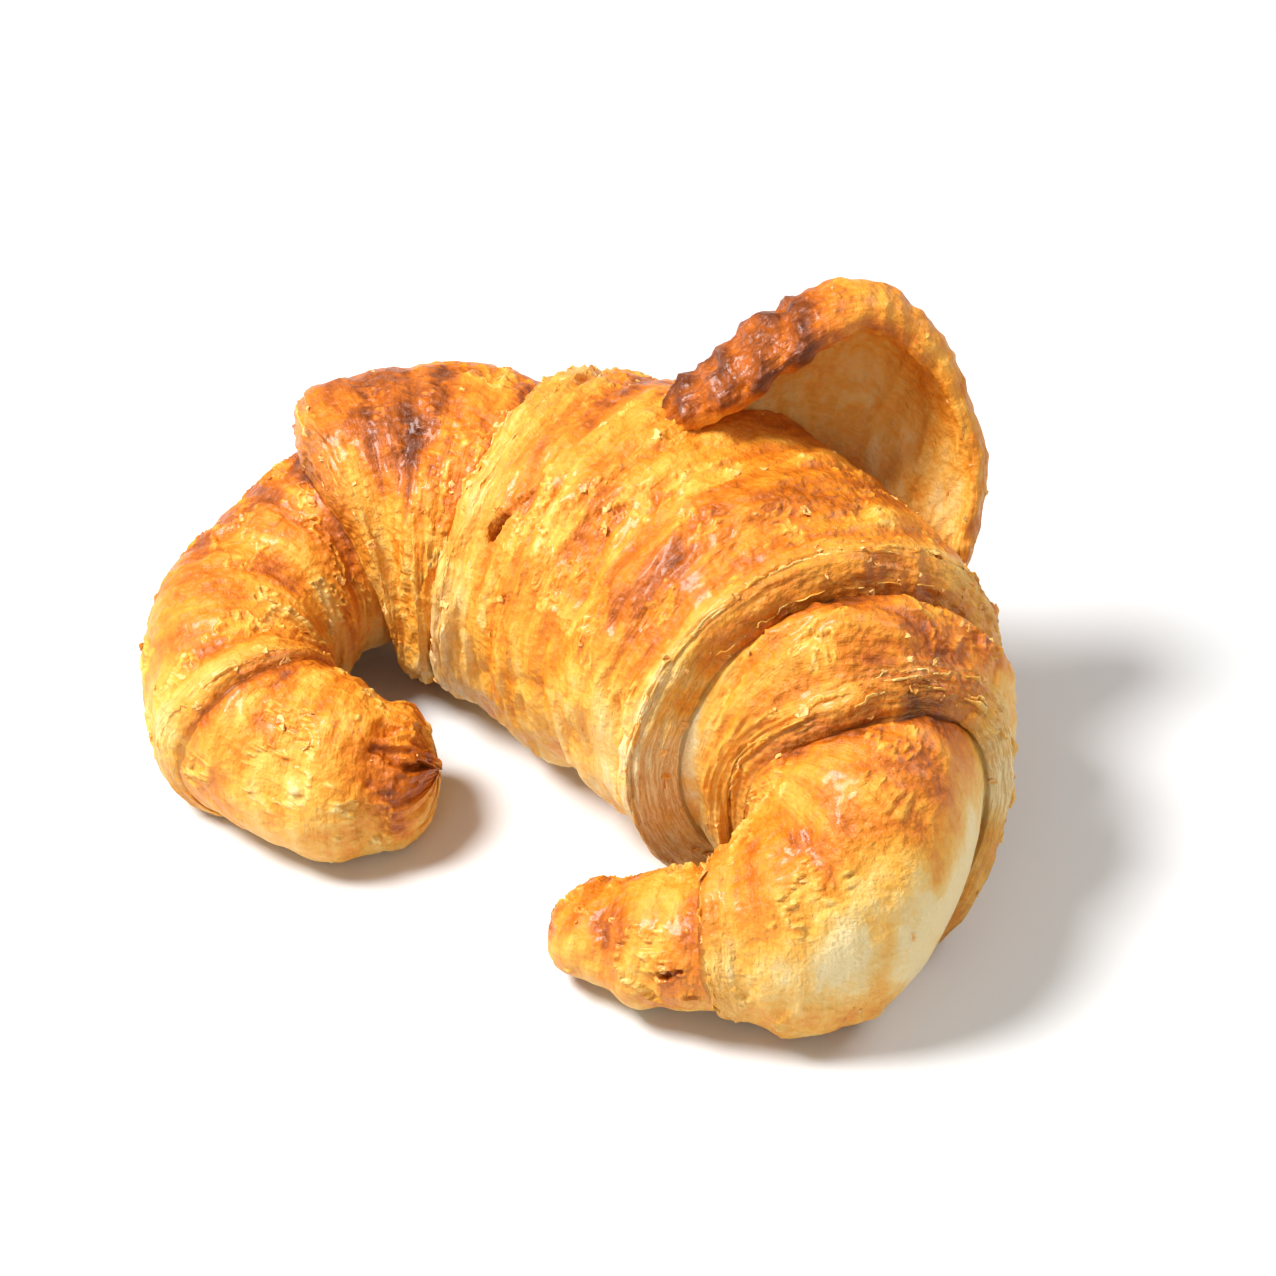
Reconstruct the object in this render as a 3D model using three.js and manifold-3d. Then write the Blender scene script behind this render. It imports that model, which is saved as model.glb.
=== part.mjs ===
// Butter croissant, curled into a near-closed crescent, with the free tail of the dough standing up
// behind the middle and curling forward. One baked solid: a lofted body plus a lofted tail, joined and
// cut flat where it lay on the tray. Millimetres, +Z up, the bay of the crescent opens towards -Y.
import * as THREE from "three";
import { LoftGeometry } from "three/addons/geometries/LoftGeometry.js";
import { mergeVertices } from "three/addons/utils/BufferGeometryUtils.js";
import Module from "manifold-3d";

// ---- driving dimensions ----
const AROUND = 40; // points around each section of the body
const CHORD = 20; // half length over which the direction of the roll is averaged
const SAG = 1.12; // how much deeper than its rise the underside hangs before it is cut flat
const LUMP = 0.025; // share of the radius by which the dough rises and falls
const LUMP_WAVES = [0.21, 0.083]; // how fast it does so along the roll, in radians a millimetre
const TRAY_CUT = 200; // size of the block below z = 0 that flattens the underside
const TAIL_SECTIONS = 30;
const TAIL_STEPS = 5; // points up each face of the tail
const RIM_STEPS = 7; // points over its rolled rim
const RIM_TURN = 215; // degrees the rim rolls through
const TAIL_ROOT = 2.6; // half thickness of the tail where it leaves the body
const TAIL_WALL = 2.0; // half thickness below the rim
const RIM_DROP = 1.7; // radii below the top of the rim where its roll meets the inner face

// Centre line of the roll from the left tip to the right tip: x, y and the height of the section centre.
const SPINE = [
  [-16, -34, 10], [-22, -41, 12], [-37, -45.5, 14], [-49, -39, 15], [-54, -28, 17], [-53, -11, 22],
  [-41, 1, 25.5], [-25, 8, 28], [0, 10, 29], [25, 7, 28.5], [42, 1.5, 26], [50, -6, 22.5],
  [51.5, -18.5, 17.5], [43, -27.5, 13], [30, -34, 9.5], [22, -37, 7],
];

// The wraps of dough, one ring at each place where the width changes. `at` is the length along the
// spine, and `half` the half widths away from the bay, towards it and upwards. `lean` slides the
// ring's outer side and its top along the spine, so that the wraps run askew. `steps` is the number
// of sections up to the next ring.
const RINGS = [
  { name: "left_end", kind: "pole", at: -5, half: [0, 0, 0], lean: [0, 0], steps: 3 },
  { name: "left_nose", kind: "smooth", at: 1, half: [11, 10.5, 10.5], lean: [0, 0], steps: 2 },
  { name: "left_tip", kind: "smooth", at: 10.5, half: [14, 13, 13.5], lean: [1, 0], steps: 3 },
  { name: "left_crease", kind: "crease", at: 22, half: [14, 13.5, 13.5], lean: [3, -1], steps: 2 },
  { name: "left_arm_lip", kind: "smooth", at: 25, half: [15, 14.5, 15], lean: [3, -1], steps: 4 },
  { name: "left_arm", kind: "smooth", at: 45, half: [15, 14.5, 16.5], lean: [3, -3], steps: 5 },
  { name: "shoulder_crease", kind: "crease", at: 71, half: [17, 15.5, 17.5], lean: [3, -9], steps: 3 },
  { name: "shoulder_lip", kind: "smooth", at: 73.5, half: [24, 19.5, 25.5], lean: [3, -9], steps: 3 },
  { name: "shoulder", kind: "smooth", at: 82, half: [25, 24, 25], lean: [1, -1], steps: 3 },
  { name: "middle_left_crease", kind: "crease", at: 92, half: [22, 22, 21], lean: [1, 6], steps: 3 },
  { name: "middle_left_lip", kind: "smooth", at: 95.5, half: [28, 28, 25.5], lean: [1, 7.5], steps: 4 },
  { name: "middle_left", kind: "smooth", at: 120.5, half: [31, 31, 30], lean: [0, 0], steps: 3 },
  { name: "middle_right", kind: "smooth", at: 140.5, half: [31, 31, 30], lean: [0, 0], steps: 4 },
  { name: "middle_right_lip", kind: "smooth", at: 162, half: [31, 31, 29.5], lean: [0, -1], steps: 3 },
  { name: "right_wrap_crease", kind: "crease", at: 166, half: [24, 23, 23], lean: [0, 0], steps: 3 },
  { name: "right_wrap", kind: "smooth", at: 172.5, half: [27.5, 22, 25.5], lean: [-3, -2], steps: 3 },
  { name: "right_wrap_lip", kind: "smooth", at: 183, half: [23, 19.5, 22.5], lean: [-8, -4], steps: 3 },
  { name: "right_arm_crease", kind: "crease", at: 186.5, half: [18, 17, 18], lean: [-8, -4], steps: 3 },
  { name: "right_arm", kind: "smooth", at: 194.5, half: [16.5, 17.5, 20], lean: [-3, -1], steps: 2 },
  { name: "right_arm_end", kind: "smooth", at: 203, half: [13, 15.5, 16.5], lean: [0, 0], steps: 2 },
  { name: "right_arm_lip", kind: "smooth", at: 210.5, half: [11, 12, 12.5], lean: [0, 2], steps: 2 },
  { name: "right_crease", kind: "crease", at: 213, half: [10.5, 10.5, 10], lean: [0, 2], steps: 2 },
  { name: "right_tip", kind: "smooth", at: 221, half: [10.5, 10.5, 9.5], lean: [0, 0], steps: 3 },
  { name: "right_nose", kind: "smooth", at: 231.5, half: [8, 8, 7], lean: [0, 0], steps: 3 },
  { name: "right_end", kind: "pole", at: 238, half: [0, 0, 0], lean: [0, 0], steps: 0 },
];

// The tail, from its curled tip on top of the roll round to where its back edge joins the body again:
// rim point, root point inside the body, how far the wall bellies out, radius of the rolled rim, and
// how far that rim hooks forward.
const TAIL = [
  { rim: [-7, 13, 61.5], root: [-6, 17, 53], belly: 0, roll: 3.6, hook: 1 },
  { rim: [-1, 18.5, 69.5], root: [-3, 20, 51], belly: 2, roll: 4.4, hook: 3 },
  { rim: [3.5, 26, 75], root: [1, 25, 48], belly: 4, roll: 4.2, hook: 4 },
  { rim: [7.5, 34, 77.5], root: [5, 29, 45], belly: 6, roll: 3.8, hook: 4.5 },
  { rim: [12.5, 40.5, 75], root: [10, 32, 41], belly: 7, roll: 3.3, hook: 4.5 },
  { rim: [19, 44, 68], root: [17, 33, 37], belly: 6, roll: 2.8, hook: 3.5 },
  { rim: [25.5, 44.5, 58.5], root: [22, 33, 33], belly: 4, roll: 2.5, hook: 2.5 },
  { rim: [30, 42.5, 48.5], root: [26, 32, 29], belly: 2, roll: 2.3, hook: 1 },
  { rim: [32, 39, 39], root: [28, 30, 26], belly: 0, roll: 2, hook: 0 },
];

// ---- helpers ----
const vector = (list) => new THREE.Vector3(...list);
const smoothCurve = (points) => new THREE.CatmullRomCurve3(points, false, "catmullrom", 0.5);
const mix = THREE.MathUtils.lerp;

const wasm = await Module();
wasm.setup();

// Turns a three.js geometry into a manifold-3d solid.
function solidOf(geometry) {
  const bare = new THREE.BufferGeometry().setAttribute("position", geometry.getAttribute("position"));
  bare.setIndex(geometry.index);
  const merged = mergeVertices(bare, 1e-3);
  return new wasm.Manifold(
    new wasm.Mesh({
      numProp: 3,
      vertProperties: new Float32Array(merged.attributes.position.array),
      triVerts: new Uint32Array(merged.index.array),
    }),
  );
}

// Turns a manifold-3d solid back into a three.js geometry.
function geometryOf(solid) {
  const mesh = solid.getMesh();
  const geometry = new THREE.BufferGeometry();
  geometry.setAttribute("position", new THREE.BufferAttribute(mesh.vertProperties, 3));
  geometry.setIndex(new THREE.BufferAttribute(mesh.triVerts, 1));
  geometry.computeVertexNormals();
  return geometry;
}

// ---- body ----
const spine = smoothCurve(SPINE.map(vector));
spine.arcLengthDivisions = 1000;
const spineLength = spine.getLength();

// Point of the spine at a length from its left end; past either end it runs straight on, level.
function spineAt(length) {
  const inside = THREE.MathUtils.clamp(length, 0, spineLength);
  const point = spine.getPointAt(inside / spineLength);
  if (length === inside) return point;
  const end = length < 0 ? 0 : 1;
  const direction = spine.getTangentAt(end).setZ(0).normalize();
  return point.addScaledVector(direction, length - inside);
}

// Level unit vector away from the bay at a length along the spine.
function outwardAt(length) {
  const travel = spineAt(length + CHORD).sub(spineAt(length - CHORD)).setZ(0).normalize();
  return new THREE.Vector3(-travel.y, travel.x, 0);
}

// Shares of the way between two rings, in length and in width, at step q of 0..1. Leaving a crease or
// a pole the dough swells at once; arriving at one it drops at the last moment.
function shares(from, to, q) {
  const angle = (q * Math.PI) / 2;
  if (from !== "smooth") return [1 - Math.cos(angle), Math.sin(angle)];
  if (to !== "smooth") return [Math.sin(angle), 1 - Math.cos(angle)];
  return [q, 0.5 - 0.5 * Math.cos(q * Math.PI)];
}

// Slow rise and fall of the dough, as a factor on the half widths.
function lump(length, angle) {
  const [fast, slow] = LUMP_WAVES;
  return 1 + LUMP * Math.sin(length * fast + 2 * angle + 0.6) * Math.cos(length * slow - angle);
}

// One closed loop of points round the roll, at step q of the way from ring a to ring b.
function section(a, b, q) {
  const [along, wide] = shares(a.kind, b.kind, q);
  const points = [];
  for (let i = 0; i < AROUND; i++) {
    const angle = (i / AROUND) * 2 * Math.PI;
    const cos = Math.cos(angle);
    const sin = Math.sin(angle);
    const slideA = a.at + a.lean[0] * cos + a.lean[1] * sin;
    const slideB = b.at + b.lean[0] * cos + b.lean[1] * sin;
    const length = mix(slideA, slideB, along);
    const [outer, inner, up] = a.half.map((half, i) => mix(half, b.half[i], wide));
    const factor = lump(length, angle);
    const width = (cos > 0 ? outer : inner) * factor;
    const rise = up * factor * (sin < 0 ? SAG : 1);
    const point = spineAt(length).addScaledVector(outwardAt(length), width * cos);
    points.push(point.setZ(point.z + rise * sin));
  }
  return points;
}

const sections = [];
for (let r = 0; r + 1 < RINGS.length; r++)
  for (let k = r ? 0 : 1; k < RINGS[r].steps; k++)
    sections.push(section(RINGS[r], RINGS[r + 1], k / RINGS[r].steps));
const body = solidOf(new LoftGeometry(sections, { closed: true, capStart: true, capEnd: true }));

// ---- tail ----
const tailRim = smoothCurve(TAIL.map((t) => vector(t.rim)));
const tailRoot = smoothCurve(TAIL.map((t) => vector(t.root)));
const tailSizes = smoothCurve(TAIL.map((t) => new THREE.Vector3(t.belly, t.roll, t.hook)));

// One section of the tail in its own plane: x runs back, away from the bay, and y from root to rim. Up
// the outer face, over the rolled rim, and down the inner face.
function tailOutline(height, belly, roll, hook) {
  const bow = (y) => (4 * belly * y * (height - y)) / height ** 2;
  const half = (y) => mix(TAIL_ROOT, TAIL_WALL, y / height);
  const outline = [];
  for (let i = 0; i < TAIL_STEPS; i++) {
    const y = ((height - roll) * i) / TAIL_STEPS;
    outline.push([bow(y) + half(y), y]);
  }
  const wide = roll + hook / 2;
  const neck = height - roll;
  const middle = bow(neck) + TAIL_WALL - wide;
  for (let i = 0; i <= RIM_STEPS; i++) {
    const angle = THREE.MathUtils.degToRad((RIM_TURN * i) / RIM_STEPS);
    outline.push([middle + wide * Math.cos(angle), neck + roll * Math.sin(angle)]);
  }
  for (let i = TAIL_STEPS - 1; i >= 0; i--) {
    const y = ((height - RIM_DROP * roll) * i) / TAIL_STEPS;
    outline.push([bow(y) - half(y), y]);
  }
  return outline;
}

// The outline stood up on the body, at share u of the way along the tail.
function tailSection(u) {
  const rim = tailRim.getPoint(u);
  const root = tailRoot.getPoint(u);
  const size = tailSizes.getPoint(u);
  const up = rim.clone().sub(root).normalize();
  const along = tailRim.getTangent(u).add(tailRoot.getTangent(u));
  const back = up.clone().cross(along).normalize();
  return tailOutline(rim.distanceTo(root), Math.max(size.x, 0), size.y, Math.max(size.z, 0)).map(
    ([x, y]) => root.clone().addScaledVector(back, x).addScaledVector(up, y),
  );
}

const tailSections = [];
for (let k = 0; k < TAIL_SECTIONS; k++) tailSections.push(tailSection(k / (TAIL_SECTIONS - 1)));
const tail = solidOf(new LoftGeometry(tailSections, { closed: true, capStart: true, capEnd: true }));

// ---- join, cut on the tray, centre on the origin ----
const tray = solidOf(new THREE.BoxGeometry(TRAY_CUT * 2, TRAY_CUT * 2, TRAY_CUT));
const baked = body.add(tail).subtract(tray.translate([0, 0, -TRAY_CUT / 2]));
const geometry = geometryOf(baked);
geometry.computeBoundingBox();
const centre = geometry.boundingBox.getCenter(new THREE.Vector3());
geometry.translate(-centre.x, -centre.y, 0);

const croissant = new THREE.Mesh(
  geometry,
  new THREE.MeshStandardMaterial({ color: 0xd9962f, roughness: 0.4, metalness: 0 }),
);
croissant.name = "croissant";

const group = new THREE.Group();
group.name = "butter_croissant";
group.add(croissant);

export default group;
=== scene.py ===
# %% [markdown]
# # A butter croissant
# A triangle of laminated dough, rolled from its wide edge, bent into a crescent, brushed with egg
# and baked. The roll shows as a row of wraps that overlap like tiles, each ending in a torn cliff
# of thin layers. Here the wraps are drawn by rule from rings along a bent centre line, and the
# skin's folds, blisters and tears are moved into the mesh itself.
#
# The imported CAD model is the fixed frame, and its box is the size that the bread has to keep.

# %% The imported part
import math

import bmesh
import bpy
import numpy as np
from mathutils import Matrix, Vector


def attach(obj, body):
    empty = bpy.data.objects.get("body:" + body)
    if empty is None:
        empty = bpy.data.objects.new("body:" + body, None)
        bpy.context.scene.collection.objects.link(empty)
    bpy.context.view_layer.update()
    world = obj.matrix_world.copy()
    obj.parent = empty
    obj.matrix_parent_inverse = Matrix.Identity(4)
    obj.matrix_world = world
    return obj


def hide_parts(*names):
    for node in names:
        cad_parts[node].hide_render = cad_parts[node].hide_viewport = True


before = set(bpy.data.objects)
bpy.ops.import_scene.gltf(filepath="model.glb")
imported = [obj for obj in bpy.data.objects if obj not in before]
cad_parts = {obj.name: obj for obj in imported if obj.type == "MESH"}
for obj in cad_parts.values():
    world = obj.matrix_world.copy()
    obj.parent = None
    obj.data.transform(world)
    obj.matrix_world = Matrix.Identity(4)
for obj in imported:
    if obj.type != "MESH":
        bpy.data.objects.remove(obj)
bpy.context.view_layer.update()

MM = 0.001

# %% [markdown]
# ## The camera
# It comes first, so that everything after it can be judged from the same place: off the front
# right corner of the bread, looking down at forty degrees through a long lens, which keeps the
# near arm from looking swollen. All of the bread's numbers are millimetres from the middle of the
# drawing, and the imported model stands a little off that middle, so one offset moves both.

# %% Camera
PLACED = np.array([1.41, 6.50, 0.0])  # mm from the drawing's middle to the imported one
LOOK_AT = np.array([0.0, 0.0, 26.0])
AZIMUTH, ELEVATION = math.radians(45), math.radians(40)
DISTANCE = 430  # mm from the bread
LENS, SENSOR = 80, 36  # mm
NEAREST_SEEN = 10  # mm


def from_camera(right, up, towards):
    """A direction given as it looks from the camera, turned into the room's own axes."""
    across = Vector((math.cos(AZIMUTH), math.sin(AZIMUTH), 0))
    away = Vector((-math.sin(AZIMUTH), math.cos(AZIMUTH), 0))
    return across * right + Vector((0, 0, up)) - away * towards


def aim(thing, place, target):
    """Puts a camera or a light at a place, in mm, and turns it to face a target."""
    thing.location = Vector(place) * MM
    thing.rotation_euler = (Vector(place) - Vector(target)).to_track_quat("Z", "Y").to_euler()


camera = bpy.data.objects.new("camera", bpy.data.cameras.new("camera"))
camera.data.lens = LENS
camera.data.sensor_width = SENSOR
camera.data.clip_start = NEAREST_SEEN * MM
bpy.context.scene.collection.objects.link(camera)
bpy.context.scene.camera = camera
aimed_at = Vector(LOOK_AT + PLACED)
step_back = from_camera(0, math.sin(ELEVATION), math.cos(ELEVATION)) * DISTANCE
aim(camera, aimed_at + step_back, aimed_at)
print("camera at, mm:", [round(v) for v in aimed_at + step_back])

# %% [markdown]
# ## The centre line
# The roll bends round like a horseshoe, rising from its two tips to the fat middle. A smooth curve
# through sixteen points is enough, and everything else is measured by the length along it.

# %% Centre line
SPINE = np.array([
    (-16, -34, 10), (-22, -41, 12), (-37, -45.5, 14), (-49, -39, 15), (-54, -28, 17), (-53, -11, 22),
    (-41, 1, 25.5), (-25, 8, 28), (0, 10, 29), (25, 7, 28.5), (42, 1.5, 26), (50, -6, 22.5),
    (51.5, -18.5, 17.5), (43, -27.5, 13), (30, -34, 9.5), (22, -37, 7),
], float)


def smooth_curve(points, u):
    """Catmull-Rom curve through rows of numbers, at shares u of the way from first to last."""
    points = np.asarray(points, float)
    padded = np.vstack([2 * points[0] - points[1], points, 2 * points[-1] - points[-2]])
    x = np.clip(u, 0, 1) * (len(points) - 1)
    i = np.minimum(np.floor(x).astype(int), len(points) - 2)
    w = (x - i)[..., None]
    before, start, end, after = (padded[i + k] for k in range(4))
    leave, arrive = (end - before) / 2, (after - start) / 2
    return (
        (2 * start - 2 * end + leave + arrive) * w**3
        + (3 * end - 3 * start - 2 * leave - arrive) * w**2
        + leave * w
        + start
    )


SHARE = np.linspace(0, 1, 2001)
TRACE = smooth_curve(SPINE, SHARE)
TRACE_LENGTH = np.concatenate([[0], np.cumsum(np.linalg.norm(np.diff(TRACE, axis=0), axis=1))])
SPINE_LENGTH = TRACE_LENGTH[-1]
print("the roll is", round(SPINE_LENGTH), "mm long")

# %% [markdown]
# Two things are asked of this line again and again: where it is at a given length, and which way
# is out of the crescent there. The way out is averaged over a chord, so that the sections turn
# evenly round the bends.

# %% Places and directions along the line
CHORD = 20  # mm each way over which the direction of the roll is averaged


def spine_at(length):
    """Point of the centre line; past either tip it runs straight on, level."""
    point = smooth_curve(SPINE, np.interp(length, TRACE_LENGTH, SHARE))
    for end, beyond in ((0, np.minimum(length, 0)), (-1, np.maximum(length - SPINE_LENGTH, 0))):
        way = TRACE[1] - TRACE[0] if end == 0 else TRACE[-1] - TRACE[-2]
        way = way * (1, 1, 0) / np.hypot(way[0], way[1])
        point = point + beyond[..., None] * way
    return point


def outward_at(length):
    """Level direction away from the bay of the crescent."""
    travel = spine_at(length + CHORD) - spine_at(length - CHORD)
    level = travel[..., :2] / np.linalg.norm(travel[..., :2], axis=-1, keepdims=True)
    return np.stack([-level[..., 1], level[..., 0], 0 * level[..., 0]], -1)


fat_middle = np.array([SPINE_LENGTH / 2])
print("out of the fat middle is", outward_at(fat_middle)[0].round(2))

# %% [markdown]
# ## The wraps
# Each ring says how wide and high the roll is at one length. Between two rings the width eases
# over, except at a crease: there one wrap goes in under the torn edge of the next, so the width
# drops at the last moment. `lean` slides a ring's outer side and its top along the roll, because
# a wrap never runs quite square to it.

# %% Rings of the roll
# name, kind, length along, outer and inner half width, rise, lean of the outer side and of the top
RINGS = [
    ("left_end", "pole", -5, 0, 0, 0, 0, 0),
    ("left_nose", "smooth", 1, 11, 10.5, 10.5, 0, 0),
    ("left_tip", "smooth", 10.5, 14, 13, 13.5, 1, 0),
    ("left_crease", "crease", 22, 14, 13.5, 13.5, 3, -1),
    ("left_arm_lip", "smooth", 25, 15, 14.5, 15, 3, -1),
    ("left_arm", "smooth", 45, 15, 14.5, 16.5, 3, -3),
    ("shoulder_crease", "crease", 71, 17, 15.5, 17.5, 3, -9),
    ("shoulder_lip", "smooth", 73.5, 24, 19.5, 25.5, 3, -9),
    ("shoulder", "smooth", 82, 25, 24, 25, 1, -1),
    ("middle_left_crease", "crease", 92, 22, 22, 21, 1, 6),
    ("middle_left_lip", "smooth", 95.5, 28, 28, 25.5, 1, 7.5),
    ("middle_left", "smooth", 120.5, 31, 31, 30, 0, 0),
    ("middle_right", "smooth", 140.5, 31, 31, 30, 0, 0),
    ("middle_right_lip", "smooth", 162, 31, 31, 29.5, 0, -1),
    ("right_wrap_crease", "crease", 166, 24, 23, 23, 0, 0),
    ("right_wrap", "smooth", 172.5, 27.5, 22, 25.5, -3, -2),
    ("right_wrap_lip", "smooth", 183, 23, 19.5, 22.5, -8, -4),
    ("right_arm_crease", "crease", 186.5, 18, 17, 18, -8, -4),
    ("right_arm", "smooth", 194.5, 16.5, 17.5, 20, -3, -1),
    ("right_arm_end", "smooth", 203, 13, 15.5, 16.5, 0, 0),
    ("right_arm_lip", "smooth", 210.5, 11, 12, 12.5, 0, 2),
    ("right_crease", "crease", 213, 10.5, 10.5, 10, 0, 2),
    ("right_tip", "smooth", 221, 10.5, 10.5, 9.5, 0, 0),
    ("right_nose", "smooth", 231.5, 8, 8, 7, 0, 0),
    ("right_end", "pole", 238, 0, 0, 0, 0, 0),
]
CREASES = [i for i, ring in enumerate(RINGS) if ring[1] == "crease"]
print(len(RINGS), "rings and", len(CREASES), "creases")

# %% [markdown]
# The rings are then filled in with rows of points, half a millimetre apart, which is close enough
# to carry small wrinkles. Each row keeps the number of the wrap it lies on, and each ring keeps the
# row where it is.

# %% Rows between the rings
WRAP_RADIUS = [13, 15, 23, 30, 24, 16, 10]  # mm, of the wraps between one crease and the next
SAG = 1.12  # the underside hangs this much deeper than the rise, before the tray flattens it
LUMP = 0.025  # slow rise and fall of the dough, as a share of the radius
ROW_SPACING = 0.5  # mm between rows of points along the roll
FEWEST_ROWS = 5
CURVE_SHARE = 1.2  # an eased curve between two rings is this much longer than a straight line
TOP_FROM, TOP_TO = -25, 205  # degrees round a section, the part that shows
TOP_COLUMNS, UNDER_COLUMNS = 232, 72  # the underside needs fewer points than what shows


def shares(kind_a, kind_b, q):
    """Shares of the way between two rings, in length and in width."""
    quarter = q * math.pi / 2
    if kind_a != "smooth":
        return 1 - math.cos(quarter), math.sin(quarter)
    if kind_b != "smooth":
        return math.sin(quarter), 1 - math.cos(quarter)
    return q, 0.5 - 0.5 * math.cos(q * math.pi)


angle = np.radians(np.concatenate([
    np.linspace(TOP_FROM, TOP_TO, TOP_COLUMNS, endpoint=False),
    np.linspace(TOP_TO, TOP_FROM + 360, UNDER_COLUMNS, endpoint=False),
]))
cos, sin = np.cos(angle), np.sin(angle)
length, width, rise, wrap, ring_row = [], [], [], [], []
for i, (a, b) in enumerate(zip(RINGS, RINGS[1:])):
    apart = CURVE_SHARE * math.hypot(b[2] - a[2], b[5] - a[5])
    steps = max(FEWEST_ROWS, round(apart / ROW_SPACING))
    ring_row.append(len(length))
    for q in np.arange(steps) / steps:
        along, wide = shares(a[1], b[1], q)
        slid = [ring[2] + ring[6] * cos + ring[7] * sin for ring in (a, b)]
        side = [np.where(cos > 0, ring[3], ring[4]) for ring in (a, b)]
        length.append(slid[0] * (1 - along) + slid[1] * along)
        width.append(side[0] * (1 - wide) + side[1] * wide)
        rise.append(np.full_like(angle, a[5] * (1 - wide) + b[5] * wide))
        wrap.append(sum(c <= i for c in CREASES))
length, width, rise, wrap = (np.array(v) for v in (length[1:], width[1:], rise[1:], wrap[1:]))
ring_row = [max(row - 1, 0) for row in ring_row]
print(f"{len(length)} rows of {len(angle)} points")

# %% [markdown]
# ## Noise
# Dough is never even, so almost everything below is shaped by noise: a smooth random field made
# from a lattice of random arrows, and a scatter of random points whose nearest distances draw
# blisters. Both are written out here in numpy, so a whole skin is worked out at once, and every
# field has its own seed, so the bread comes out the same each time.

# %% Noise fields
NOISE_GAIN = 1.7  # brings the highest hills to about one


def lattice(cell, seed):
    """A number of 0..255 for each cell of space."""
    mix = np.random.RandomState(seed).permutation(256)
    x, y, z = (cell[..., k] & 255 for k in range(3))
    return mix[(mix[(mix[x] + y) & 255] + z) & 255]


def noise(at, seed):
    """Smooth noise of about -1..1, with hills a unit or two apart."""
    arrows = np.random.RandomState(seed + 1000).normal(size=(256, 3))
    arrows /= np.linalg.norm(arrows, axis=1)[:, None]
    cell = np.floor(at).astype(int)
    part = at - cell
    ease = part**3 * (part * (part * 6 - 15) + 10)
    total = 0
    for corner in np.ndindex(2, 2, 2):
        weight = np.prod(np.where(corner, ease, 1 - ease), axis=-1)
        total = total + weight * ((part - corner) * arrows[lattice(cell + corner, seed)]).sum(-1)
    return total * NOISE_GAIN


def fractal(at, seed, octaves=3):
    """Noise with finer and fainter noise on top."""
    return sum(noise(at * 2**k, seed + k) / 2**k for k in range(octaves)) / 1.5


def ramp(value, start, end):
    """0 before start, 1 after end, and eased between."""
    t = np.clip((value - start) / (end - start), 0, 1)
    return t * t * (3 - 2 * t)


sample = noise(np.random.RandomState(0).uniform(0, 50, size=(5000, 3)), 0)
print("noise runs from", round(float(sample.min()), 2), "to", round(float(sample.max()), 2))

# %% [markdown]
# The scatter of points has one point in each cell of space, at a random place in it. Only the
# cells next door can hold a nearer one, so twenty-seven of them are tried.

# %% Scattered points
def cells(at, seed):
    """Distance to the nearest of points scattered one to a cell."""
    offsets = np.random.RandomState(seed + 2000).uniform(size=(256, 3))
    home = np.floor(at).astype(int)
    nearest = np.full(at.shape[:-1], np.inf)
    for step in np.ndindex(3, 3, 3):
        cell = home + step - 1
        nearest = np.minimum(nearest, np.linalg.norm(cell + offsets[lattice(cell, seed)] - at, axis=-1))
    return nearest


sample = cells(np.random.RandomState(0).uniform(0, 50, size=(5000, 3)), 0)
print("the nearest point is on average", round(float(sample.mean()), 2), "away")

# %% [markdown]
# ## The bare roll
# The rings make a smooth roll. A slow wander along its length first keeps every torn edge from
# being a perfect hoop. The point of each row and column is also kept as it would lie on a
# straightened roll: there, wrinkles that run round the bread are only noise that is stretched.

# %% Bare roll
WRAP_APART = 61.0  # mm that a wrap's pattern is shifted, so that no two wraps look alike
WANDER, FRAY = 1.2, 0.35  # mm that a torn edge strays, slowly and quickly
FAST_WAVE, SLOW_WAVE = 0.21, 0.083  # radians a millimetre, of the lumps along the roll
radius = np.array(WRAP_RADIUS)[wrap][:, None] * np.ones_like(length)


def straightened(round_the_roll=1.0, along=1.0):
    """Points of the straightened roll, in mm, with each wrap shifted to a pattern of its own."""
    apart = wrap[:, None] * WRAP_APART
    return np.stack([
        (length + apart) / along,
        (radius * cos + apart) / round_the_roll,
        radius * sin / round_the_roll,
    ], -1)


length = length + WANDER * fractal(straightened(15, 25), 11) + FRAY * fractal(straightened(2.5, 12), 15)
lump = 1 + LUMP * np.sin(length * FAST_WAVE + 2 * angle + 0.6) * np.cos(length * SLOW_WAVE - angle)
bare = spine_at(length) + outward_at(length) * (width * lump * cos)[..., None]
bare[..., 2] += rise * lump * sin * np.where(sin < 0, SAG, 1)
bare[..., 2] = np.maximum(bare[..., 2], 0)
print("bare roll, mm high:", round(float(bare[..., 2].max()), 1))

# %% [markdown]
# Every move of the skin will be along the direction that faces out of it, so that is worked out
# here once, with the way walked along the roll's own surface, by which the leaves are counted.

# %% Directions out of the roll
def facing(grid):
    """Outward direction at each point of a grid whose columns close on themselves."""
    down = np.gradient(grid, axis=0)
    across = np.roll(grid, -1, axis=1) - np.roll(grid, 1, axis=1)
    out = np.cross(across, down)
    return out / np.maximum(np.linalg.norm(out, axis=-1, keepdims=True), 1e-9)


normal = facing(bare)
print("points out:", bool((normal[len(normal) // 2, 60] @ (0, 0, 1)) > 0))
path = np.concatenate([
    np.zeros((1, len(angle))),
    np.cumsum(np.linalg.norm(np.diff(bare, axis=0), axis=-1), axis=0),
])
skin = straightened()

# %% [markdown]
# ## Torn edges
# Where a wrap ends, the sheet was cut, and the oven pulls its leaves of dough apart: a cliff of
# pale, thin, parallel edges that runs on over the top for a few millimetres. Each crease has its
# cliff on one side only, up to the ring that is its lip. Distance from the crease, counted in
# leaves, gives both the little steps in the mesh and the lines of colour.

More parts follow.
